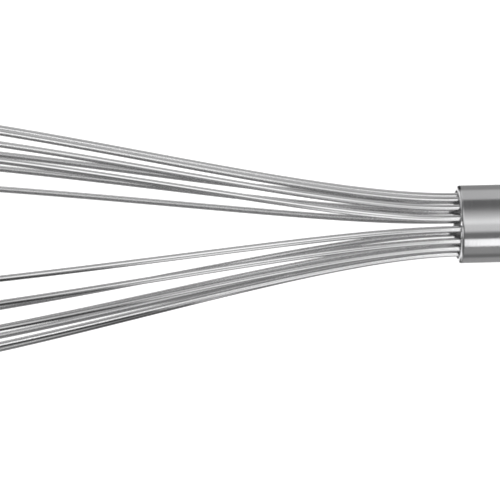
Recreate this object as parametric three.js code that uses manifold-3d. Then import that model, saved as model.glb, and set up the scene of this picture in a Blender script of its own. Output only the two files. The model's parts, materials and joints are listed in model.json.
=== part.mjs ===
// A balloon whisk of stainless steel, lying on a table as it comes to rest.
// Millimetres, +Z up. The handle points to +X, the wire balloon to -X.
// Each piece is made in the whisk's own frame: the axis is X, and the middle of the handle's mouth is the origin.

import * as THREE from "three";
import { mergeVertices } from "three/addons/utils/BufferGeometryUtils.js";
import Module from "manifold-3d";

// Clearance between pieces that fit together
const CLEARANCE = 0.3;

// Handle tube
const TUBE_RADIUS = 9;
const TUBE_WALL = 1.2;
const TUBE_LENGTH = 112;
const LIP_OUTER_ROUND = 0.75;
const LIP_INNER_ROUND = 0.25;

// Wire loops: one wire each, both ends held in the handle
const WIRE_RADIUS = 0.75;
const BELLY_DISTANCE = 146; // from the mouth to the widest place
const BELLY_RADIUS = 31; // from the axis to the middle of a wire
const TIP_LENGTH = 42; // from the widest place to the tip of the longest loop
const NECK_REACH = 37; // how far a wire keeps straight on after the mouth
const BELLY_REACH = 38; // how early a wire runs level before the widest place
const SPREAD_LENGTH = 38; // how soon the loops turn from their place at the mouth to their lie in the belly
// How far each loop is turned from upright, in degrees: its first leg, then its second.
// At the mouth the wires are spaced out all round. In the belly they crowd to both sides,
// because the whisk rests on the first and the last loop.
const LOOPS = [
  { mouth: [16, 15], belly: [31, 34] },
  { mouth: [41, 34], belly: [43.5, 45.5] },
  { mouth: [61, 61], belly: [61, 53] },
  { mouth: [88, 80], belly: [80, 80] },
  { mouth: [107, 112], belly: [96.5, 118] },
  { mouth: [126, 131], belly: [123, 122] },
  { mouth: [145, 153], belly: [129.5, 132.5] },
  { mouth: [169, 175], belly: [144, 143.5] },
];

// Seal in the mouth, and the grooved core behind it that the wire ends are fixed to
const GROOVE_CLEARANCE = 0.2; // between a wire and the groove that it lies in
const SEAL_RECESS = 2;
const SEAL_THICKNESS = 3;
const CORE_LENGTH = 30;
const WIRE_SETBACK = 2; // from the wire ends to the core's rear face

// End cap: a spigot in the tube, a domed rim, and a knob with a cross hole
const SPIGOT_LENGTH = 9;
const CAP_RIM = 2;
const DOME_RADIUS = 3.5;
const KNOB_RADIUS = 4.5;
const KNOB_LENGTH = 7.5;
const KNOB_ROUND = 0.8;
const PIVOT_SETBACK = 3.6; // from the knob's root to the cross hole

// Hanging ring: a bent wire, whose straight bar turns in the cross hole
const RING_WIRE_RADIUS = 1.1;
const RING_RADIUS = 10; // to the middle of the wire
const RING_CORNER = 2.5;
const RING_SIDE_PLAY = 0.75; // from the knob's side to where the bar starts to bend
const RING_JOINT_GAP = 0.4; // where the wire's two ends meet inside the knob

// Fineness of the faceted surfaces
const ROUND_SEGMENTS = 48;
const FILLET_SEGMENTS = 4;
const NOTCH_SEGMENTS = 3;
const WIRE_SIDES = 8;
const WIRE_STEPS = 72;
const RING_SIDES = 10;
const RING_STEPS = 48;
const DRILL_SEGMENTS = 20;

// Search for the angle at which the whisk lies
const STEEPEST_TILT = 30; // degrees
const TILT_HALVINGS = 40;
const LOOP_SAMPLES = 240; // points along each loop

// Sizes that follow from the ones above
const tubeInnerRadius = TUBE_RADIUS - TUBE_WALL;
const wireCircleRadius = tubeInnerRadius - CLEARANCE - WIRE_RADIUS;
const notchRadius = WIRE_RADIUS + GROOVE_CLEARANCE;
const nestStep = 2 * WIRE_RADIUS + CLEARANCE;
const coreStart = SEAL_RECESS + SEAL_THICKNESS + CLEARANCE;
const wireEnd = coreStart + CORE_LENGTH - WIRE_SETBACK;
const rimEnd = TUBE_LENGTH + CLEARANCE + CAP_RIM;
const knobRoot = rimEnd + DOME_RADIUS;
const pivotX = knobRoot + PIVOT_SETBACK;
const ringBendY = KNOB_RADIUS + RING_SIDE_PLAY;
const ringCentre = RING_CORNER + Math.sqrt((RING_RADIUS - RING_CORNER) ** 2 - ringBendY ** 2);

const radians = THREE.MathUtils.degToRad;

// Materials
const steel = (color, roughness) => new THREE.MeshStandardMaterial({ color, roughness, metalness: 1 });
const sealant = new THREE.MeshStandardMaterial({ color: 0x1c1c1e, roughness: 0.7, metalness: 0 });

function named(name, geometry, material) {
  const mesh = new THREE.Mesh(geometry, material);
  mesh.name = name;
  return mesh;
}

// A solid of revolution about X, from a profile of points (radius, distance along X)
function turned(profile) {
  return new THREE.LatheGeometry(profile, ROUND_SEGMENTS).rotateZ(-Math.PI / 2);
}

// Points of a fillet about (radius, along), from one angle to another
function fillet(radius, along, size, fromDegrees, toDegrees) {
  const points = [];
  for (let i = 0; i <= FILLET_SEGMENTS; i += 1) {
    const angle = radians(fromDegrees + ((toDegrees - fromDegrees) * i) / FILLET_SEGMENTS);
    points.push(new THREE.Vector2(radius + size * Math.cos(angle), along + size * Math.sin(angle)));
  }
  return points;
}

// A round wire along a curve
function wire(curve, radius, sides, steps) {
  const section = [];
  for (let i = 0; i < sides; i += 1) {
    const angle = (2 * Math.PI * i) / sides;
    section.push(new THREE.Vector2(radius * Math.cos(angle), radius * Math.sin(angle)));
  }
  return new THREE.ExtrudeGeometry(new THREE.Shape(section), { steps, extrudePath: curve });
}

// Handle tube, open at the mouth, with a rounded lip
function handleTube() {
  const profile = [
    new THREE.Vector2(tubeInnerRadius, TUBE_LENGTH),
    ...fillet(tubeInnerRadius + LIP_INNER_ROUND, LIP_INNER_ROUND, LIP_INNER_ROUND, 180, 270),
    ...fillet(TUBE_RADIUS - LIP_OUTER_ROUND, LIP_OUTER_ROUND, LIP_OUTER_ROUND, 270, 360),
    new THREE.Vector2(TUBE_RADIUS, TUBE_LENGTH),
    new THREE.Vector2(tubeInnerRadius, TUBE_LENGTH),
  ];
  return named("handle_tube", turned(profile), steel(0xc4c5c7, 0.2));
}

// One loop in its own plane: x along the whisk, y the distance from the axis, negative on the second leg
function loopOutline(tipLength) {
  const outline = new THREE.Path();
  const level = BELLY_REACH - BELLY_DISTANCE;
  outline.moveTo(wireEnd, wireCircleRadius);
  outline.lineTo(0, wireCircleRadius);
  outline.bezierCurveTo(-NECK_REACH, wireCircleRadius, level, BELLY_RADIUS, -BELLY_DISTANCE, BELLY_RADIUS);
  outline.absellipse(-BELLY_DISTANCE, 0, tipLength, BELLY_RADIUS, Math.PI / 2, 1.5 * Math.PI, false, 0);
  outline.bezierCurveTo(level, -BELLY_RADIUS, -NECK_REACH, -wireCircleRadius, 0, -wireCircleRadius);
  outline.lineTo(wireEnd, -wireCircleRadius);
  return outline;
}

// The same loop in space: its plane turns from its place at the mouth to its lie in the belly
class LoopCurve extends THREE.Curve {
  constructor(index) {
    super();
    this.outline = loopOutline(TIP_LENGTH - index * nestStep);
    this.turns = LOOPS[index];
  }

  turnAt(x, y) {
    const across = THREE.MathUtils.clamp(y / BELLY_RADIUS, -1, 1);
    const side = x < -BELLY_DISTANCE ? (across * (3 - across * across)) / 2 : Math.sign(y);
    const between = ([first, second]) => THREE.MathUtils.lerp(second, first, (1 + side) / 2);
    const distance = Math.max(0, -x);
    const mouthShare = 1 / (1 + (distance / SPREAD_LENGTH) ** 2);
    return radians(THREE.MathUtils.lerp(between(this.turns.belly), between(this.turns.mouth), mouthShare));
  }

  getPoint(t, target = new THREE.Vector3()) {
    const flat = this.outline.getPoint(t);
    const turn = this.turnAt(flat.x, flat.y);
    return target.set(flat.x, -flat.y * Math.sin(turn), flat.y * Math.cos(turn));
  }
}

function wireLoop(index) {
  const geometry = wire(new LoopCurve(index), WIRE_RADIUS, WIRE_SIDES, WIRE_STEPS);
  return named(`wire_loop_${index + 1}`, geometry, steel(0xb9babc, 0.15));
}

// A disc across the handle, from one distance along X, with a notch in its rim for each wire end
function notchedDisc(radius, start, thickness) {
  const shape = new THREE.Shape();
  const cosine = (radius ** 2 + wireCircleRadius ** 2 - notchRadius ** 2) / (2 * radius * wireCircleRadius);
  const halfNotch = Math.acos(cosine);
  const lipAngle = Math.atan2(radius * Math.sin(halfNotch), radius * cosine - wireCircleRadius);
  // The wire ends in the order in which they lie round the mouth, in degrees from its lowest point
  const ends = LOOPS.flatMap(({ mouth: [first, second] }) => [first + 180, second]).sort((a, b) => a - b);
  ends.forEach((end, i) => {
    const middle = radians(end);
    const next = radians(ends[i + 1] ?? ends[0] + 360);
    const notchX = wireCircleRadius * Math.cos(middle);
    const notchY = wireCircleRadius * Math.sin(middle);
    shape.absarc(notchX, notchY, notchRadius, middle - lipAngle, middle + lipAngle, true);
    shape.absarc(0, 0, radius, middle + halfNotch, next - halfNotch, false);
  });
  const options = { depth: thickness, bevelEnabled: false, curveSegments: NOTCH_SEGMENTS };
  return new THREE.ExtrudeGeometry(shape, options).rotateY(Math.PI / 2).translate(start, 0, 0);
}

function mouthSeal() {
  const geometry = notchedDisc(tubeInnerRadius - CLEARANCE, SEAL_RECESS, SEAL_THICKNESS);
  return named("mouth_seal", geometry, sealant);
}

function wireCore() {
  return named("wire_core", notchedDisc(wireCircleRadius, coreStart, CORE_LENGTH), steel(0x8f9194, 0.4));
}

// Turns a geometry into a solid that can be cut, and a solid back into a geometry
const wasm = await Module();
wasm.setup();

function toSolid(geometry) {
  const bare = geometry.clone().deleteAttribute("normal").deleteAttribute("uv");
  const merged = mergeVertices(bare);
  const vertProperties = new Float32Array(merged.attributes.position.array);
  const triVerts = new Uint32Array(merged.index.array);
  return new wasm.Manifold(new wasm.Mesh({ numProp: 3, vertProperties, triVerts }));
}

function toGeometry(solid) {
  const { vertProperties, triVerts } = solid.getMesh();
  const geometry = new THREE.BufferGeometry();
  geometry.setAttribute("position", new THREE.BufferAttribute(vertProperties, 3));
  geometry.setIndex(new THREE.BufferAttribute(triVerts, 1));
  geometry.computeVertexNormals();
  return geometry;
}

// End cap, cross-drilled for the hanging ring
function endCap() {
  const spigotRadius = tubeInnerRadius - CLEARANCE;
  const knobEnd = knobRoot + KNOB_LENGTH;
  const profile = [
    new THREE.Vector2(0, TUBE_LENGTH - SPIGOT_LENGTH),
    new THREE.Vector2(spigotRadius, TUBE_LENGTH - SPIGOT_LENGTH),
    new THREE.Vector2(spigotRadius, TUBE_LENGTH + CLEARANCE),
    new THREE.Vector2(TUBE_RADIUS, TUBE_LENGTH + CLEARANCE),
    ...fillet(TUBE_RADIUS - DOME_RADIUS, rimEnd, DOME_RADIUS, 0, 90),
    new THREE.Vector2(KNOB_RADIUS, knobRoot),
    ...fillet(KNOB_RADIUS - KNOB_ROUND, knobEnd - KNOB_ROUND, KNOB_ROUND, 0, 90),
    new THREE.Vector2(0, knobEnd),
  ];
  const drillRadius = RING_WIRE_RADIUS + CLEARANCE;
  const drillLength = 2 * TUBE_RADIUS;
  const drill = new THREE.CylinderGeometry(drillRadius, drillRadius, drillLength, DRILL_SEGMENTS);
  drill.translate(pivotX, 0, 0);
  const solid = toSolid(turned(profile)).subtract(toSolid(drill));
  return named("end_cap", toGeometry(solid), steel(0xc4c5c7, 0.2));
}

// Hanging ring about its own bar: the bar lies along Y, and the ring reaches to +X
function hangRing() {
  const outline = new THREE.Path();
  const tangent = Math.atan2(ringBendY, RING_CORNER - ringCentre);
  outline.moveTo(0, RING_JOINT_GAP / 2);
  outline.lineTo(0, ringBendY);
  outline.absarc(RING_CORNER, ringBendY, RING_CORNER, Math.PI, tangent, true);
  outline.absarc(ringCentre, 0, RING_RADIUS, tangent, -tangent, true);
  outline.absarc(RING_CORNER, -ringBendY, RING_CORNER, -tangent, -Math.PI, true);
  outline.lineTo(0, -RING_JOINT_GAP / 2);
  const points = outline.getSpacedPoints(RING_STEPS).map(({ x, y }) => new THREE.Vector3(x, y, 0));
  const curve = new THREE.CatmullRomCurve3(points);
  return named("hang_ring", wire(curve, RING_WIRE_RADIUS, RING_SIDES, RING_STEPS), steel(0xb9babc, 0.15));
}

// How the whisk lies: its lowest wires and the cap's rim touch the table.
// The tilt of the axis is found by halving, until neither is lower than the other.
function lyingTilt() {
  const wirePoints = LOOPS.flatMap((turns, index) => new LoopCurve(index).getPoints(LOOP_SAMPLES));
  let low = 0;
  let high = radians(STEEPEST_TILT);
  for (let i = 0; i < TILT_HALVINGS; i += 1) {
    const middle = (low + high) / 2;
    const sine = Math.sin(middle);
    const cosine = Math.cos(middle);
    const wireHeight = Math.min(...wirePoints.map(({ x, z }) => z * cosine - x * sine)) - WIRE_RADIUS;
    const rimHeight = -rimEnd * sine - TUBE_RADIUS * cosine;
    if (wireHeight < rimHeight) {
      low = middle;
    } else {
      high = middle;
    }
  }
  return low;
}

const tilt = lyingTilt();
const whisk = new THREE.Group();
whisk.rotation.y = tilt;
whisk.add(handleTube(), mouthSeal(), wireCore(), endCap());
whisk.add(...LOOPS.map((turns, index) => wireLoop(index)));

// The ring has swung down until it lies on the table behind the handle
const pivotHeight = TUBE_RADIUS * Math.cos(tilt) - (pivotX - rimEnd) * Math.sin(tilt);
const ringDrop = Math.asin((pivotHeight - RING_WIRE_RADIUS - CLEARANCE) / (ringCentre + RING_RADIUS));
const ring = hangRing();
ring.position.x = pivotX;
ring.rotation.y = ringDrop - tilt;
whisk.add(ring);

// The origin is on the table, under the middle of the whole part
const part = new THREE.Group();
part.add(whisk);
part.updateMatrixWorld(true);
const bounds = new THREE.Box3().setFromObject(part, true);
const middle = bounds.getCenter(new THREE.Vector3());
part.position.set(-middle.x, -middle.y, -bounds.min.z);
part.updateMatrixWorld(true);

export default part;
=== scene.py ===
"""A balloon whisk of stainless steel on a pale floor, seen from above as it lies there.

Every mesh is made in the whisk's own frame, in metres: the axis is X and the middle of the handle's mouth
is the origin, so the handle points to +X and the wire balloon to -X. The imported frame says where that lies.
"""

import json
import math
import bpy
from mathutils import Matrix, Vector, noise


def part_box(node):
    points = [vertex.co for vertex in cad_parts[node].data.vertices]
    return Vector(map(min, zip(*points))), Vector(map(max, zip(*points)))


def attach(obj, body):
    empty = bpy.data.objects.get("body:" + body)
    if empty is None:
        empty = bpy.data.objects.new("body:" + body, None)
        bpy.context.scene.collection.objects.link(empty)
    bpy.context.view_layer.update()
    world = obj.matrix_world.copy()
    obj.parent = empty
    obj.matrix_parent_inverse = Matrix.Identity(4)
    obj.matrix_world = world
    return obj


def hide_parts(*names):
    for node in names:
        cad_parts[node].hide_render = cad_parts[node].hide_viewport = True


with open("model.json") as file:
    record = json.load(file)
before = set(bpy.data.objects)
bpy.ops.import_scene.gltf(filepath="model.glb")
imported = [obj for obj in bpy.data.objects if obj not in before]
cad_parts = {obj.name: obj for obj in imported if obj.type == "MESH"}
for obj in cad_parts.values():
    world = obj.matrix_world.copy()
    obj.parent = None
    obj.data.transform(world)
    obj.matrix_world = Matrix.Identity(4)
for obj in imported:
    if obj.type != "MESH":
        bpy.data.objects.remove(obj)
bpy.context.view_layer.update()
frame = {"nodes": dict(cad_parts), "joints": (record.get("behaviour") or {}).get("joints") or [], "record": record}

MM = 0.001

# Handle tube
TUBE_RADIUS = 9 * MM
TUBE_WALL = 1.2 * MM
TUBE_LENGTH = 112 * MM
LIP_OUTER_ROUND = 0.75 * MM
LIP_INNER_ROUND = 0.25 * MM
REAR_EDGE_ROUND = 0.2 * MM
CLEARANCE = 0.3 * MM

# Wire loops
WIRE_RADIUS = 0.75 * MM
WIRE_END = 33.3 * MM  # how far the wire ends reach into the handle
WIRE_CHAMFER = 0.15 * MM
BELLY_DISTANCE = 146 * MM
BELLY_RADIUS = 31 * MM
TIP_LENGTH = 42 * MM
NECK_REACH = 37 * MM
BELLY_REACH = 38 * MM
SPREAD_LENGTH = 38 * MM
# How far each loop is turned from upright, in degrees: its first leg and its second at the mouth,
# then both in the belly
LOOPS = [
    ((16, 15), (31, 34)),
    ((41, 34), (43.5, 45.5)),
    ((61, 61), (61, 53)),
    ((88, 80), (80, 80)),
    ((107, 112), (96.5, 118)),
    ((126, 131), (123, 122)),
    ((145, 153), (129.5, 132.5)),
    ((169, 175), (144, 143.5)),
]

# Seal in the mouth
SEAL_RECESS = 2 * MM
SEAL_THICKNESS = 3 * MM
SEAL_FIT = 0.02 * MM
WALL_CREEP = 0.7 * MM  # how far the sealant creeps up the tube's wall
WIRE_CREEP = 0.6 * MM  # and up each wire
CREEP_WIDTH = 0.4 * MM
SEAL_RIPPLE = 0.06 * MM
SEAL_RIPPLE_SIZE = 1.6 * MM

# End cap
SPIGOT_LENGTH = 9 * MM
CAP_RIM = 2 * MM
DOME_RADIUS = 3.5 * MM
KNOB_RADIUS = 4.5 * MM
KNOB_LENGTH = 7.5 * MM
KNOB_ROUND = 0.8 * MM
KNOB_ROOT_ROUND = 0.6 * MM
HOLE_FLARE = 0.35 * MM  # countersink of the cross hole

# Hanging ring
RING_WIRE_RADIUS = 1.1 * MM
RING_RADIUS = 10 * MM
RING_CORNER = 2.5 * MM
RING_SIDE_PLAY = 0.75 * MM
RING_JOINT_GAP = 0.4 * MM

# Fineness of the meshes
TURNED_SEGMENTS = 160
FILLET_STEPS = 10
WIRE_SIDES = 24
NECK_STEPS = 90
TIP_STEPS = 110
INNER_STEPS = 10
RING_SIDES = 32
CORNER_STEPS = 14
RING_STEPS = 120
BAR_STEPS = 6
SEAL_RINGS = 40
SEAL_SPOKES_PER_WIRE = 16
HOLE_SEGMENTS = 64
SMOOTH_ANGLE = math.radians(35)

# Sizes that follow from the ones above
tube_inner_radius = TUBE_RADIUS - TUBE_WALL
wire_circle_radius = tube_inner_radius - CLEARANCE - WIRE_RADIUS
nest_step = 2 * WIRE_RADIUS + CLEARANCE
rim_start = TUBE_LENGTH + CLEARANCE
rim_end = rim_start + CAP_RIM
knob_root = rim_end + DOME_RADIUS
knob_end = knob_root + KNOB_LENGTH
ring_bend = KNOB_RADIUS + RING_SIDE_PLAY
ring_centre = RING_CORNER + math.sqrt((RING_RADIUS - RING_CORNER) ** 2 - ring_bend**2)

# Where the whisk lies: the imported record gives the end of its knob, its axis and the ring's pivot
mounts = {mount["name"]: mount for mount in frame["record"]["mounts"]}
axis_x = Vector(mounts["handle_end"]["axis"]).normalized()
axis_y = Vector((0, 1, 0))
axis_z = axis_x.cross(axis_y)
mouth = Vector(mounts["handle_end"]["pos_m"]) - knob_end * axis_x
pivot = Vector(frame["joints"][0]["pos_m"])
whisk_place = Matrix.Translation(mouth) @ Matrix((axis_x, axis_y, axis_z)).transposed().to_4x4()
pivot_x = (pivot - mouth).dot(axis_x)

# The ring hangs below level by this angle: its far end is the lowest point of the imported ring
ring_low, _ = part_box("hang_ring")
ring_drop = math.asin((pivot.z - ring_low.z - RING_WIRE_RADIUS) / (ring_centre + RING_RADIUS))
ring_place = Matrix.Translation(pivot) @ Matrix.Rotation(ring_drop, 4, "Y")


# Meshes

def add_piece(name, vertices, faces, grain, place, material):
    """A smooth mesh object; grain gives, for each vertex, the point at which its finish is looked up."""
    mesh = bpy.data.meshes.new(name)
    mesh.from_pydata(vertices, [], faces)
    attribute = mesh.attributes.new("grain", "FLOAT_VECTOR", "POINT")
    attribute.data.foreach_set("vector", [value for point in grain for value in point])
    mesh.transform(place)
    mesh.shade_smooth()
    mesh.set_sharp_from_angle(angle=SMOOTH_ANGLE)
    mesh.materials.append(material)
    piece = bpy.data.objects.new(name, mesh)
    bpy.context.scene.collection.objects.link(piece)
    return piece


def arc(centre_x, centre_r, radius, from_degrees, to_degrees, steps=FILLET_STEPS):
    """Points (x, r) of an arc; 0 degrees points along +r and 90 degrees along +X."""
    points = []
    for i in range(steps + 1):
        angle = math.radians(from_degrees + (to_degrees - from_degrees) * i / steps)
        points.append((centre_x + radius * math.sin(angle), centre_r + radius * math.cos(angle)))
    return points


def turned(profile, closed, segments=TURNED_SEGMENTS):
    """A solid of revolution about X from points (x, r), with its faces outwards.

    A profile that isn't closed starts and ends on the axis. The grain runs round the axis: its first
    coordinate is the distance along the profile.
    """
    vertices, grain, rows = [], [], []
    length = 0
    for i, (x, r) in enumerate(profile):
        if i > 0:
            length += math.dist(profile[i - 1], profile[i])
        row = []
        for k in range(1 if r == 0 else segments):
            angle = 2 * math.pi * k / segments
            row.append(len(vertices))
            vertices.append((x, r * math.cos(angle), r * math.sin(angle)))
            grain.append((length, r * math.cos(angle), r * math.sin(angle)))
        rows.append(row)
    pairs = list(zip(rows, rows[1:]))
    if closed:
        pairs.append((rows[-1], rows[0]))
    faces = []
    for first, second in pairs:
        for k in range(segments):
            n = (k + 1) % segments
            if len(first) == 1:
                faces.append((first[0], second[n], second[k]))
            elif len(second) == 1:
                faces.append((first[k], first[n], second[0]))
            else:
                faces.append((first[k], first[n], second[n], second[k]))
    return vertices, faces, grain


def swept(points, radius, sides, chamfer):
    """A round wire along points, with bevelled ends.

    The grain runs along it: it tells where each vertex would be on the straightened wire.
    """
    tangents = []
    for i in range(len(points)):
        before, after = points[max(i - 1, 0)], points[min(i + 1, len(points) - 1)]
        tangents.append((after - before).normalized())
    rings = [(points[0], tangents[0], radius - chamfer)]
    rings.append((points[0] + chamfer * tangents[0], tangents[0], radius))
    rings.extend((points[i], tangents[i], radius) for i in range(1, len(points) - 1))
    rings.append((points[-1] - chamfer * tangents[-1], tangents[-1], radius))
    rings.append((points[-1], tangents[-1], radius - chamfer))
    normal = tangents[0].orthogonal().normalized()
    vertices, grain, faces = [], [], []
    length = 0
    for i, (point, tangent, ring_radius) in enumerate(rings):
        if i > 0:
            length += (point - rings[i - 1][0]).length
        normal = (normal - normal.dot(tangent) * tangent).normalized()
        side = tangent.cross(normal)
        for k in range(sides):
            angle = 2 * math.pi * k / sides
            across, up = ring_radius * math.cos(angle), ring_radius * math.sin(angle)
            vertices.append(point + across * normal + up * side)
            grain.append((length, across, up))
    for i in range(len(rings) - 1):
        for k in range(sides):
            n = (k + 1) % sides
            low, high = i * sides, (i + 1) * sides
            faces.append((low + k, low + n, high + n, high + k))
    last = (len(rings) - 1) * sides
    faces.append(tuple(reversed(range(sides))))
    faces.append(tuple(range(last, last + sides)))
    return vertices, faces, grain


# Materials

# Most values of a noise texture lie between these two
NOISE_LOW = 0.3
NOISE_HIGH = 0.7
# How many finer layers the noise has, and how strongly the lines show
LINE_DETAIL = 3
PATCH_DETAIL = 2
LINE_STRENGTH = 0.5
# The sealant's features per metre, and the depth of its skin
SKIN_SCALE = (4000, 4000, 4000)
SKIN_PATCHES = (600, 600, 600)
SKIN_DETAIL = 4
SKIN_STRENGTH = 0.6
SKIN_DEPTH = 0.05 * MM


def new_material(name):
    material = bpy.data.materials.new(name)
    material.use_nodes = True
    return material, material.node_tree.nodes, material.node_tree.links


def grain_noise(nodes, links, scale, detail, source="grain"):
    """Noise stretched along the grain: scale gives the features per metre in the grain's three directions."""
    where = nodes.new("ShaderNodeAttribute")
    where.attribute_name = source
    stretch = nodes.new("ShaderNodeMapping")
    stretch.inputs["Scale"].default_value = scale
    links.new(where.outputs["Vector"], stretch.inputs["Vector"])
    cloud = nodes.new("ShaderNodeTexNoise")
    cloud.inputs["Scale"].default_value = 1
    cloud.inputs["Detail"].default_value = detail
    links.new(stretch.outputs["Vector"], cloud.inputs["Vector"])
    return cloud.outputs["Fac"]


def spread(nodes, links, value, low, high):
    """Maps noise to a range of values."""
    remap = nodes.new("ShaderNodeMapRange")
    remap.inputs["From Min"].default_value = NOISE_LOW
    remap.inputs["From Max"].default_value = NOISE_HIGH
    remap.inputs["To Min"].default_value = low
    remap.inputs["To Max"].default_value = high
    links.new(value, remap.inputs["Value"])
    return remap.outputs["Result"]


def tint(nodes, links, value, dark, light):
    """A colour between two, chosen by noise."""
    ramp = nodes.new("ShaderNodeValToRGB")
    ramp.color_ramp.elements[0].position = NOISE_LOW
    ramp.color_ramp.elements[0].color = (*dark, 1)
    ramp.color_ramp.elements[1].position = NOISE_HIGH
    ramp.color_ramp.elements[1].color = (*light, 1)
    links.new(value, ramp.inputs["Fac"])
    return ramp.outputs["Color"]


def bump(nodes, links, height, strength, distance):
    node = nodes.new("ShaderNodeBump")
    node.inputs["Strength"].default_value = strength
    node.inputs["Distance"].default_value = distance
    links.new(height, node.inputs["Height"])
    return node.outputs["Normal"]


def steel(name, line_scale, patch_scale, dark, light, smooth, rough, depth, source="grain"):
    """Steel with fine lines along its grain, and with slow patches in its colour.

    The lines vary its roughness from smooth to rough and are depth deep.
    """
    material, nodes, links = new_material(name)
    shader = nodes["Principled BSDF"]
    shader.inputs["Metallic"].default_value = 1
    lines = grain_noise(nodes, links, line_scale, LINE_DETAIL, source)
    patches = grain_noise(nodes, links, patch_scale, PATCH_DETAIL, source)
    links.new(tint(nodes, links, patches, dark, light), shader.inputs["Base Color"])
    links.new(spread(nodes, links, lines, smooth, rough), shader.inputs["Roughness"])
    links.new(bump(nodes, links, lines, LINE_STRENGTH, depth), shader.inputs["Normal"])
    return material


def sealant():
    """Dark filling, matt, with a skin that is a little uneven."""
    material, nodes, links = new_material("dark_sealant")
    shader = nodes["Principled BSDF"]
    shader.inputs["Specular IOR Level"].default_value = 0.35
    skin = grain_noise(nodes, links, SKIN_SCALE, SKIN_DETAIL)
    patches = grain_noise(nodes, links, SKIN_PATCHES, PATCH_DETAIL)
    colour = tint(nodes, links, patches, (0.12, 0.12, 0.121), (0.20, 0.20, 0.202))
    links.new(colour, shader.inputs["Base Color"])
    links.new(spread(nodes, links, skin, 0.5, 0.75), shader.inputs["Roughness"])
    links.new(bump(nodes, links, skin, SKIN_STRENGTH, SKIN_DEPTH), shader.inputs["Normal"])
    return material


ACROSS_LINES = 5000  # fine lines per metre
ALONG_LINES = 30  # features along such a line, so that it ends somewhere
ROUND_LINES = (ACROSS_LINES, ALONG_LINES, ALONG_LINES)  # lines that run round a turned piece
LENGTH_LINES = (ALONG_LINES, ACROSS_LINES, ACROSS_LINES)  # lines that run along a drawn piece
handle_steel = steel(
    "polished_tube_steel",
    line_scale=ROUND_LINES,
    patch_scale=(60, 200, 200),
    dark=(0.60, 0.60, 0.61),
    light=(0.66, 0.66, 0.665),
    smooth=0.10,
    rough=0.18,
    depth=0.0015 * MM,
)
bore_steel = steel(
    "drawn_bore_steel",
    line_scale=LENGTH_LINES,
    patch_scale=(60, 200, 200),
    dark=(0.55, 0.55, 0.56),
    light=(0.65, 0.65, 0.66),
    smooth=0.45,
    rough=0.6,
    depth=0.003 * MM,
)
wire_steel = steel(
    "bright_wire_steel",
    line_scale=LENGTH_LINES,
    patch_scale=(40, 400, 400),
    dark=(0.68, 0.68, 0.685),
    light=(0.74, 0.74, 0.745),
    smooth=0.05,
    rough=0.10,
    depth=0.0002 * MM,
)
core_steel = steel(
    "turned_core_steel",
    line_scale=ROUND_LINES,
    patch_scale=(100, 300, 300),
    dark=(0.36, 0.36, 0.37),
    light=(0.48, 0.48, 0.49),
    smooth=0.3,
    rough=0.45,
    depth=0.004 * MM,
    source="position",
)
dark_sealant = sealant()


# Pieces

def handle_tube():
    """Open tube with a rounded lip round its mouth, polished outside and left as drawn inside."""
    profile = [
        *arc(LIP_INNER_ROUND, tube_inner_radius + LIP_INNER_ROUND, LIP_INNER_ROUND, 180, 270),
        *arc(LIP_OUTER_ROUND, TUBE_RADIUS - LIP_OUTER_ROUND, LIP_OUTER_ROUND, -90, 0),
        *arc(TUBE_LENGTH - REAR_EDGE_ROUND, TUBE_RADIUS - REAR_EDGE_ROUND, REAR_EDGE_ROUND, 0, 90),
        (TUBE_LENGTH, tube_inner_radius),
    ]
    tube = add_piece("whisk_handle", *turned(profile, True), whisk_place, handle_steel)
    tube.data.materials.append(bore_steel)
    for face in tube.data.polygons[-TURNED_SEGMENTS:]:  # the bore closes the profile
        face.material_index = 1
    return tube


def neck_point(share):
    """Point (distance from the mouth, distance from the axis) of a wire between the mouth and the belly."""
    rest = 1 - share
    near, far = 3 * rest**2 * share, 3 * rest * share**2
    distance = near * NECK_REACH + far * (BELLY_DISTANCE - BELLY_REACH) + share**3 * BELLY_DISTANCE
    radius = (rest**3 + near) * wire_circle_radius + (far + share**3) * BELLY_RADIUS
    return distance, radius


def loop_outline(tip_length):
    """One loop in its own plane: x along the whisk, y the distance from the axis.

    The distance is negative on the second leg.
    """
    leg = [(WIRE_END * (1 - i / INNER_STEPS), wire_circle_radius) for i in range(INNER_STEPS)]
    for i in range(NECK_STEPS):
        distance, radius = neck_point(i / NECK_STEPS)
        leg.append((-distance, radius))
    tip = []
    for i in range(TIP_STEPS + 1):
        angle = math.pi * i / TIP_STEPS
        tip.append((-BELLY_DISTANCE - tip_length * math.sin(angle), BELLY_RADIUS * math.cos(angle)))
    return leg + tip + [(x, -y) for x, y in reversed(leg)]


def loop_points(index):
    """The same loop in space: its plane turns from its place at the mouth to its lie in the belly."""
    mouth_turns, belly_turns = LOOPS[index]
    points = []
    for x, y in loop_outline(TIP_LENGTH - index * nest_step):
        # From 1 on the first leg to -1 on the second, and smoothly from one to the other round the tip
        across = max(-1, min(1, y / BELLY_RADIUS))
        side = across * (3 - across**2) / 2 if x < -BELLY_DISTANCE else math.copysign(1, y)
        mouth_turn, belly_turn = (
            second + (first - second) * (1 + side) / 2 for first, second in (mouth_turns, belly_turns)
        )
        mouth_share = 1 / (1 + (max(0, -x) / SPREAD_LENGTH) ** 2)
        turn = math.radians(belly_turn + (mouth_turn - belly_turn) * mouth_share)
        points.append(Vector((x, -y * math.sin(turn), y * math.cos(turn))))
    return points


def wire_loop(index):
    mesh = swept(loop_points(index), WIRE_RADIUS, WIRE_SIDES, WIRE_CHAMFER)
    return add_piece(f"whisk_wire_{index + 1}", *mesh, whisk_place, wire_steel)


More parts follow.
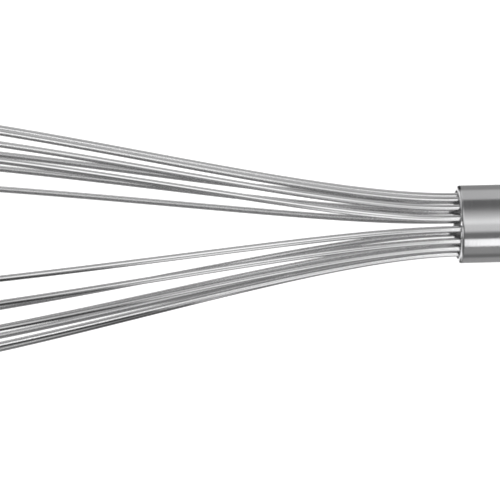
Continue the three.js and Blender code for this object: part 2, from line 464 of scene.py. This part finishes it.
def mouth_seal():
    """Filling between the wire ends: it creeps up the tube's wall and up each wire."""
    spokes = 2 * len(LOOPS) * SEAL_SPOKES_PER_WIRE
    outer = tube_inner_radius - SEAL_FIT
    wires = []
    for (first, second), _ in LOOPS:
        for turn in (math.radians(first), math.radians(second + 180)):
            wires.append(wire_circle_radius * Vector((-math.sin(turn), math.cos(turn))))

    def front(y, z):
        place = Vector((y, z))
        wall_gap = outer - place.length
        wire_gap = max(0, min((place - wire).length for wire in wires) - WIRE_RADIUS)
        creep = max(
            WALL_CREEP * math.exp(-wall_gap / CREEP_WIDTH),
            WIRE_CREEP * math.exp(-wire_gap / CREEP_WIDTH),
        )
        ripple = SEAL_RIPPLE * noise.noise(Vector((y, z, 0)) / SEAL_RIPPLE_SIZE)
        return SEAL_RECESS - creep + ripple

    vertices = [(front(0, 0), 0, 0)]
    faces = []
    for ring in range(1, SEAL_RINGS + 1):
        for k in range(spokes):
            angle = 2 * math.pi * k / spokes
            radius = outer * ring / SEAL_RINGS
            y, z = radius * math.cos(angle), radius * math.sin(angle)
            vertices.append((front(y, z), y, z))
    back = SEAL_RECESS + SEAL_THICKNESS
    for k in range(spokes):
        angle = 2 * math.pi * k / spokes
        vertices.append((back, outer * math.cos(angle), outer * math.sin(angle)))
    for k in range(spokes):
        n = (k + 1) % spokes
        faces.append((0, 1 + n, 1 + k))
        for ring in range(SEAL_RINGS):
            low, high = 1 + ring * spokes, 1 + (ring + 1) * spokes
            faces.append((low + k, low + n, high + n, high + k))
    faces.append(tuple(range(len(vertices) - spokes, len(vertices))))
    return add_piece("whisk_seal", vertices, faces, vertices, whisk_place, dark_sealant)


def cross_hole():
    """The cutter for the knob's cross hole, along Y through the pivot, flared at both sides of the knob."""
    radius = RING_WIRE_RADIUS + CLEARANCE
    surface = math.sqrt(KNOB_RADIUS**2 - radius**2)
    half = [
        (0, radius),
        (surface - HOLE_FLARE, radius),
        (KNOB_RADIUS + HOLE_FLARE, radius + KNOB_RADIUS - surface + 2 * HOLE_FLARE),
    ]
    profile = [(-half[-1][0], 0)]
    profile.extend((-x, r) for x, r in reversed(half[1:]))
    profile.extend(half[1:])
    profile.append((half[-1][0], 0))
    vertices, faces, grain = turned(profile, False, HOLE_SEGMENTS)
    along_y = Matrix.Translation((pivot_x, 0, 0)) @ Matrix.Rotation(math.pi / 2, 4, "Z")
    return add_piece("cross_hole", vertices, faces, grain, whisk_place @ along_y, handle_steel)


def end_cap():
    """Spigot, rim, dome and knob, with a cross hole for the ring."""
    spigot_radius = tube_inner_radius - CLEARANCE
    edge = REAR_EDGE_ROUND
    profile = [
        (TUBE_LENGTH - SPIGOT_LENGTH, 0),
        (TUBE_LENGTH - SPIGOT_LENGTH, spigot_radius),
        (rim_start, spigot_radius),
        *arc(rim_start + edge, TUBE_RADIUS - edge, edge, -90, 0),
        *arc(rim_end, TUBE_RADIUS - DOME_RADIUS, DOME_RADIUS, 0, 90, 2 * FILLET_STEPS),
        *arc(knob_root + KNOB_ROOT_ROUND, KNOB_RADIUS + KNOB_ROOT_ROUND, KNOB_ROOT_ROUND, 270, 180),
        *arc(knob_end - KNOB_ROUND, KNOB_RADIUS - KNOB_ROUND, KNOB_ROUND, 0, 90),
        (knob_end, 0),
    ]
    cap = add_piece("whisk_end_cap", *turned(profile, False), whisk_place, handle_steel)
    cutter = cross_hole()
    cut = cap.modifiers.new("cross_hole", "BOOLEAN")
    cut.operation = "DIFFERENCE"
    cut.solver = "EXACT"
    cut.object = cutter
    depsgraph = bpy.context.evaluated_depsgraph_get()
    drilled = bpy.data.meshes.new_from_object(cap.evaluated_get(depsgraph))
    cap.modifiers.clear()
    cap.data = drilled
    drilled.shade_smooth()
    drilled.set_sharp_from_angle(angle=SMOOTH_ANGLE)
    bpy.data.objects.remove(cutter)
    return cap


def hang_ring():
    """A bent wire in its own frame: its bar lies along Y in the cross hole, and the ring reaches to +X."""
    tangent = math.atan2(ring_bend, RING_CORNER - ring_centre)
    half = []
    for i in range(BAR_STEPS):
        start = RING_JOINT_GAP / 2
        half.append(Vector((0, start + (ring_bend - start) * i / BAR_STEPS, 0)))
    for i in range(CORNER_STEPS):
        angle = math.pi + (tangent - math.pi) * i / CORNER_STEPS
        corner = RING_CORNER * Vector((1 + math.cos(angle), math.sin(angle), 0))
        half.append(corner + Vector((0, ring_bend, 0)))
    big = []
    for i in range(RING_STEPS + 1):
        angle = tangent - 2 * tangent * i / RING_STEPS
        big.append(Vector((ring_centre + RING_RADIUS * math.cos(angle), RING_RADIUS * math.sin(angle), 0)))
    mirrored = [Vector((p.x, -p.y, 0)) for p in reversed(half)]
    mesh = swept(half + big + mirrored, RING_WIRE_RADIUS, RING_SIDES, WIRE_CHAMFER)
    return add_piece("whisk_ring", *mesh, ring_place, wire_steel)


def install(piece, body, node):
    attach(piece, body)
    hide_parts(node)


seal = mouth_seal()
install(handle_tube(), "whisk", "handle_tube")
install(end_cap(), "whisk", "end_cap")
install(seal, "whisk", "mouth_seal")
install(hang_ring(), "ring", "hang_ring")
wires = [wire_loop(index) for index in range(len(LOOPS))]
for index, wire in enumerate(wires):
    install(wire, "whisk", f"wire_loop_{index + 1}")

# The core is hidden in the handle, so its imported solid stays, with its own finish
core = frame["nodes"]["wire_core"]
core.data.materials.clear()
core.data.materials.append(core_steel)


# Studio

# What the steel mirrors, as layers of light. A layer's bands lie round the whisk's length: angles in degrees
# from straight up, positive towards the front, with the brightness at the first and at the last angle. Its
# shares say how much of it there is along the whisk: how far a direction points along X, from -1 to 1, and
# the share there.
# First, straight above and round the handle, which the handle mirrors
HANDLE_BANDS = [
    (-180, -117, 0.33, 0.33),  # shade at the rear
    (-108, -72, 0.60, 0.62),  # rear wall
    (-67, -48, 0.17, 0.17),  # gap below the ceiling
    (-38, -8, 0.24, 0.88),  # ceiling, brighter towards the lamp
    (-2, 6, 1.08, 1.08),  # lamp
    (10, 28, 0.82, 0.80),  # its diffuser
    (34, 77, 0.22, 0.22),  # shade behind the camera
    (83, 103, 0.36, 0.36),  # front wall
    (111, 121, 0.20, 0.20),  # gap below it
    (130, 180, 0.42, 0.35),  # floor in front
]
HANDLE_SHARES = [(-1, 0), (-0.03, 0), (0.03, 1), (0.2, 1), (0.25, 0), (1, 0)]
# Above the handle, which the near side of the neck mirrors
NECK_BANDS = [
    (-180, -120, 0.03, 0.03),
    (-104, -75, 0.75, 0.75),  # rear wall
    (-62, -14, 0.42, 0.42),  # ceiling
    (0, 18, 1.15, 1.15),  # lamp
    (30, 180, 0.07, 0.07),  # shade behind the camera
]
NECK_SHARES = [(-1, 0), (0.2, 0), (0.25, 1), (0.34, 1), (0.39, 0), (1, 0)]
# Beyond the handle's end, which the near side of the balloon mirrors
NEAR_BANDS = [
    (-180, -112, 0.02, 0.02),
    (-99, -78, 0.80, 0.95),  # rear wall
    (-64, -46, 0.12, 0.12),
    (-32, -20, 1.10, 1.90),  # lamp
    (-12, 0, 1.90, 1.50),
    (15, 92, 0.06, 0.06),  # shade behind the camera
    (104, 124, 0.70, 0.70),  # front wall
    (138, 180, 0.02, 0.02),
]
NEAR_SHARES = [(-1, 0), (0.34, 0), (0.39, 1), (0.6, 1), (1, 0.5)]
# Straight across the whisk, which the sides of the balloon mirror
MIDDLE_BANDS = [
    (-180, -125, 0.04, 0.04),
    (-106, -72, 0.75, 0.75),  # rear wall
    (-60, -45, 0.40, 0.40),
    (-22, 0, 0.90, 0.90),  # lamp
    (20, 180, 0.13, 0.13),  # shade behind the camera
]
MIDDLE_SHARES = [(-1, 0), (-0.2, 0), (-0.1, 1), (-0.03, 1), (0.03, 0), (1, 0)]
# Beyond the balloon, which the far side of the balloon mirrors
FAR_BANDS = [
    (-180, -122, 0.04, 0.04),
    (-104, -82, 0.80, 0.85),  # rear wall
    (-64, -50, 0.15, 0.15),
    (-22, 0, 1.10, 1.10),  # lamp
    (18, 105, 0.15, 0.18),  # shade behind the camera
    (122, 145, 0.60, 0.60),  # front wall
    (160, 180, 0.08, 0.04),
]
FAR_SHARES = [(-1, 0), (-0.75, 0), (-0.35, 1), (-0.2, 1), (-0.1, 0), (1, 0)]
# Beyond the balloon's tip, which the middle of the lip mirrors, and the handle when it is seen from its end
TIP_BANDS = [
    (-180, -108, 0.04, 0.04),
    (-96, -72, 0.70, 0.70),  # rear wall
    (-60, -20, 0.12, 0.20),  # ceiling
    (-10, 14, 0.06, 0.06),
    (26, 48, 1.10, 1.10),  # lamp
    (62, 84, 0.20, 0.20),  # front wall
    (100, 180, 0.04, 0.04),
]
TIP_SHARES = [(-1, 1), (-0.7, 1), (-0.5, 0), (1, 0)]
# The lit floor beyond the balloon, which the lip mirrors
FLOOR_BANDS = [(-180, -125, 1.3, 1.3), (-115, 115, 0, 0), (125, 180, 1.3, 1.3)]
FLOOR_SHARES = [(-1, 1), (-0.6, 1), (-0.45, 0), (1, 0)]
# The lit floor straight under the whisk
UNDER_BANDS = [(-180, -164, 1.2, 1.2), (-158, 172, 0, 0), (178, 180, 1.2, 1.2)]
UNDER_SHARES = [(-1, 1), (1, 1)]
STUDIO = [
    (HANDLE_BANDS, HANDLE_SHARES),
    (NECK_BANDS, NECK_SHARES),
    (NEAR_BANDS, NEAR_SHARES),
    (MIDDLE_BANDS, MIDDLE_SHARES),
    (FAR_BANDS, FAR_SHARES),
    (TIP_BANDS, TIP_SHARES),
    (FLOOR_BANDS, FLOOR_SHARES),
    (UNDER_BANDS, UNDER_SHARES),
]
FLOOR_GAP = 5 * MM  # the floor lies this far below, so that it clears the ring at the end of its swing
FLOOR_SIZE = 40
FLOOR_GREY = 0.9
FLOOR_ROUGHNESS = 0.9


def grey_ramp(nodes, stops):
    """A ramp of greys; stops are (position from 0 to 1, brightness)."""
    ramp = nodes.new("ShaderNodeValToRGB")
    elements = ramp.color_ramp.elements
    for place, level in stops[1:-1]:
        elements.new(place).color = (level, level, level, 1)
    for element, (place, level) in zip((elements[0], elements[-1]), (stops[0], stops[-1])):
        element.position = place
        element.color = (level, level, level, 1)
    return ramp


def studio():
    """Surroundings that only the steel sees; to the camera they are plain white."""
    world = bpy.data.worlds.new("studio")
    world.use_nodes = True
    bpy.context.scene.world = world
    nodes, links = world.node_tree.nodes, world.node_tree.links
    nodes.clear()

    def math_node(operation, first, second):
        node = nodes.new("ShaderNodeMath")
        node.operation = operation
        for socket, value in zip(node.inputs, (first, second)):
            if isinstance(value, (int, float)):
                socket.default_value = value
            else:
                links.new(value, socket)
        return node.outputs["Value"]

    direction = nodes.new("ShaderNodeTexCoord").outputs["Generated"]
    parts = nodes.new("ShaderNodeSeparateXYZ")
    links.new(direction, parts.inputs["Vector"])
    towards_front = math_node("MULTIPLY", parts.outputs["Y"], -1)
    around = math_node("ARCTAN2", towards_front, parts.outputs["Z"])
    turn = math_node("ADD", math_node("DIVIDE", around, 2 * math.pi), 0.5)
    length = math_node("ADD", math_node("DIVIDE", parts.outputs["X"], 2), 0.5)

    def layer(bands, shares):
        stops = []
        for start, end, start_level, end_level in bands:
            stops.append((start / 360 + 0.5, start_level))
            stops.append((end / 360 + 0.5, end_level))
        light = nodes.new("ShaderNodeBackground")
        for factor, ramp_stops, socket in (
            (turn, stops, "Color"),
            (length, [(place / 2 + 0.5, share) for place, share in shares], "Strength"),
        ):
            ramp = grey_ramp(nodes, ramp_stops)
            links.new(factor, ramp.inputs["Fac"])
            links.new(ramp.outputs["Color"], light.inputs[socket])
        return light.outputs["Background"]

    mirrored = layer(*STUDIO[0])
    for bands, shares in STUDIO[1:]:
        both = nodes.new("ShaderNodeAddShader")
        links.new(mirrored, both.inputs[0])
        links.new(layer(bands, shares), both.inputs[1])
        mirrored = both.outputs["Shader"]
    white = nodes.new("ShaderNodeBackground")
    white.inputs["Color"].default_value = (1, 1, 1, 1)
    choose = nodes.new("ShaderNodeMixShader")
    links.new(nodes.new("ShaderNodeLightPath").outputs["Is Camera Ray"], choose.inputs["Fac"])
    links.new(mirrored, choose.inputs[1])
    links.new(white.outputs["Background"], choose.inputs[2])
    output = nodes.new("ShaderNodeOutputWorld")
    links.new(choose.outputs["Shader"], output.inputs["Surface"])


def floor():
    """Pale floor, lit evenly to white."""
    half = FLOOR_SIZE / 2
    mesh = bpy.data.meshes.new("floor")
    corners = [(x, y, -FLOOR_GAP) for x, y in ((-half, -half), (half, -half), (half, half), (-half, half))]
    mesh.from_pydata(corners, [], [(0, 1, 2, 3)])
    material, nodes, _ = new_material("white_floor")
    shader = nodes["Principled BSDF"]
    shader.inputs["Base Color"].default_value = (FLOOR_GREY, FLOOR_GREY, FLOOR_GREY, 1)
    shader.inputs["Roughness"].default_value = FLOOR_ROUGHNESS
    shader.inputs["Emission Color"].default_value = (1, 1, 1, 1)
    shader.inputs["Emission Strength"].default_value = 1
    mesh.materials.append(material)
    ground = bpy.data.objects.new("floor", mesh)
    bpy.context.scene.collection.objects.link(ground)
    ground.visible_glossy = False
    ground.visible_diffuse = False


# Softboxes in front of the whisk, which its steel mirrors as bright bands: where each one starts and ends
# along X, then its lowest and its highest edge, and its brightness
SOFTBOX_DISTANCE = 150 * MM
HANDLE_SOFTBOX = (35 * MM, 235 * MM, 57 * MM, 135 * MM, 1.35)
BALLOON_SOFTBOXES = [
    (5 * MM, 45 * MM, 25 * MM, 72 * MM, 1.3),
    (25 * MM, 130 * MM, 45 * MM, 220 * MM, 0.65),
]
# A strip light high above, which the wires mirror as thin lines near the mouth: its distance in metres, from
# which angle to which it reaches, measured from straight up towards the front, how far it points along X at
# its two ends, and its brightness
STRIP_DISTANCE = 3
STRIP_ANGLES = (math.radians(3), math.radians(15))
STRIP_ENDS = (0.13, 0.22)
STRIP_BRIGHTNESS = 2.6
# A light beyond the balloon that shines into the mouth and is aimed at the seal alone
SEAL_LIGHT_DISTANCE = 300 * MM
SEAL_LIGHT_SIZE = 100 * MM
SEAL_LIGHT_BRIGHTNESS = 25


def softbox(name, width, height, place, turn, brightness, receivers=()):
    """A bright rectangle that the camera doesn't see. It lights everything, or only its receivers."""
    light = bpy.data.lights.new(name, "AREA")
    light.shape = "RECTANGLE"
    light.size = width
    light.size_y = height
    light.energy = brightness * math.pi * width * height
    box = bpy.data.objects.new(name, light)
    bpy.context.scene.collection.objects.link(box)
    box.location = place
    box.rotation_euler = turn
    box.visible_camera = False
    if receivers:
        group = bpy.data.collections.new(f"{name}_receivers")
        for piece in receivers:
            group.objects.link(piece)
        box.light_linking.receiver_collection = group


def front_softbox(name, start, end, bottom, top, brightness, receivers=()):
    place = ((start + end) / 2, -SOFTBOX_DISTANCE, (bottom + top) / 2)
    softbox(name, end - start, top - bottom, place, (math.pi / 2, 0, 0), brightness, receivers)


def strip_light():
    angle = sum(STRIP_ANGLES) / 2
    along = sum(STRIP_ENDS) / 2
    across = math.sqrt(1 - along**2)
    place = STRIP_DISTANCE * Vector((along, -across * math.sin(angle), across * math.cos(angle)))
    length = STRIP_DISTANCE * (STRIP_ENDS[1] - STRIP_ENDS[0])
    width = STRIP_DISTANCE * (STRIP_ANGLES[1] - STRIP_ANGLES[0])
    turn = place.to_track_quat("Z", "Y").to_euler()
    softbox("strip_light", length, width, place, turn, STRIP_BRIGHTNESS, wires)


def softboxes():
    """One for every piece, some that are aimed at the wires alone, and one for the seal."""
    front_softbox("handle_softbox", *HANDLE_SOFTBOX)
    for i, values in enumerate(BALLOON_SOFTBOXES):
        front_softbox(f"balloon_softbox_{i + 1}", *values, wires)
    strip_light()
    place = mouth - SEAL_LIGHT_DISTANCE * axis_x
    size = SEAL_LIGHT_SIZE
    softbox("seal_light", size, size, place, (0, -math.pi / 2, 0), SEAL_LIGHT_BRIGHTNESS, [seal])


# Camera: nearly straight above, as in the photograph
TARGET_FROM_MOUTH = Vector((-47.67, -2.3, 0)) * MM
CAMERA_DISTANCE = 1056.5 * MM
CAMERA_ELEVATION = math.radians(82.94)
CAMERA_ROLL = math.radians(-1.84)
LENS = 331.2  # millimetres
SENSOR_WIDTH = 36
PIXEL_BLUR = 2.0  # width of the pixel filter


def camera():
    to_camera = Vector((0, -math.cos(CAMERA_ELEVATION), math.sin(CAMERA_ELEVATION)))
    right = Vector((1, 0, 0))
    axes = Matrix((right, to_camera.cross(right), to_camera)).transposed()
    data = bpy.data.cameras.new("camera")
    data.lens = LENS
    data.sensor_width = SENSOR_WIDTH
    viewer = bpy.data.objects.new("camera", data)
    bpy.context.scene.collection.objects.link(viewer)
    rolled = axes.to_4x4() @ Matrix.Rotation(CAMERA_ROLL, 4, "Z")
    place = mouth + TARGET_FROM_MOUTH + CAMERA_DISTANCE * to_camera
    viewer.matrix_world = Matrix.Translation(place) @ rolled
    bpy.context.scene.camera = viewer


studio()
floor()
softboxes()
camera()
bpy.context.scene.view_settings.view_transform = "Standard"
bpy.context.scene.cycles.filter_width = PIXEL_BLUR
